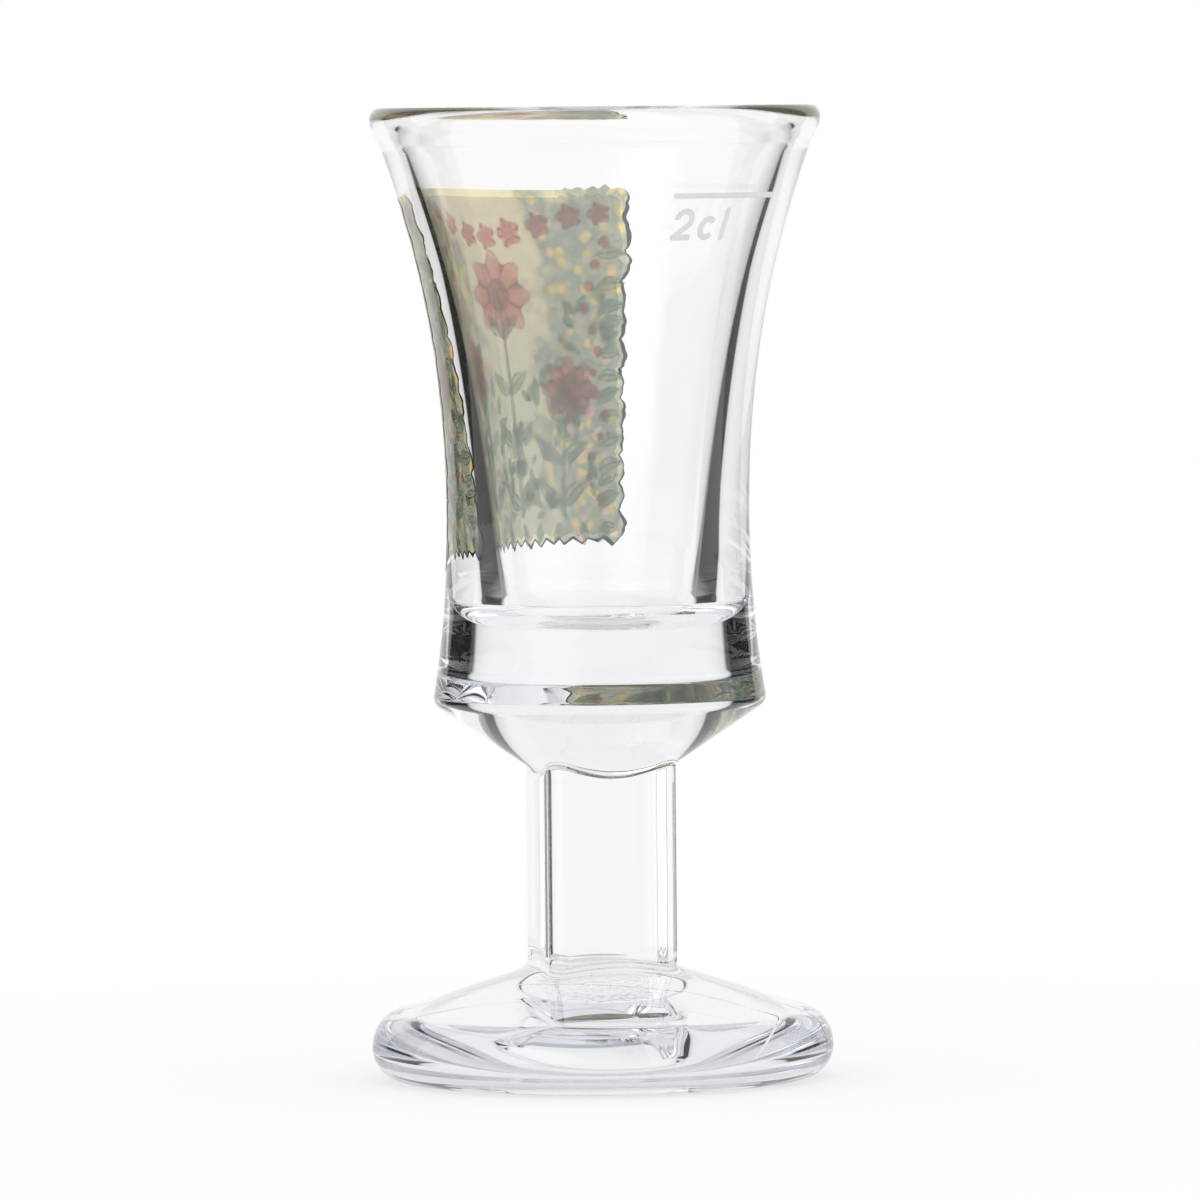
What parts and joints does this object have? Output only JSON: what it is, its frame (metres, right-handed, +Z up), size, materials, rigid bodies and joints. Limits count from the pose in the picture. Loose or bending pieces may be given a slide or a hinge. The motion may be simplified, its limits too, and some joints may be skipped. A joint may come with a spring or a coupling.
{
  "type": "schnapps glass",
  "caption": "Stemmed schnapps glass: flared thick-walled bowl with a solid base on a square stem and a heavy round foot, with a fired fill mark and flower print; holds a measure of spirits.",
  "frame": {"origin": "middle of the ring that the foot rests on, on the axis of the bowl", "axes": "+Z up along the axis to the rim, -Y the pictured front, +X to its right"},
  "size_m": [0.0448, 0.0448, 0.0941],
  "materials": {
    "clear_glass": "fire-polished clear soda-lime glass",
    "mark_enamel": "frosted white fired enamel",
    "print_white": "white fired enamel ground",
    "print_field": "washed olive and straw fired enamel",
    "print_green": "green fired enamel",
    "print_red": "red fired enamel",
    "print_yellow": "yellow fired enamel"
  },
  "bodies": {
    "root": {"foot": "clear_glass", "stem": "clear_glass", "bowl": "clear_glass", "fill_line": "mark_enamel", "mark_digit": "mark_enamel", "mark_unit_c": "mark_enamel", "mark_unit_l": "mark_enamel", "print_ground": "print_white", "print_field": "print_field", "print_frond_middle": "print_green", "print_frond_left": "print_green", "print_frond_right": "print_green", "print_bloom_middle": "print_red", "print_bloom_left": "print_red", "print_bloom_right": "print_red", "print_eye_middle": "print_yellow", "print_eye_left": "print_yellow", "print_eye_right": "print_yellow"}
  },
  "joints": []
}
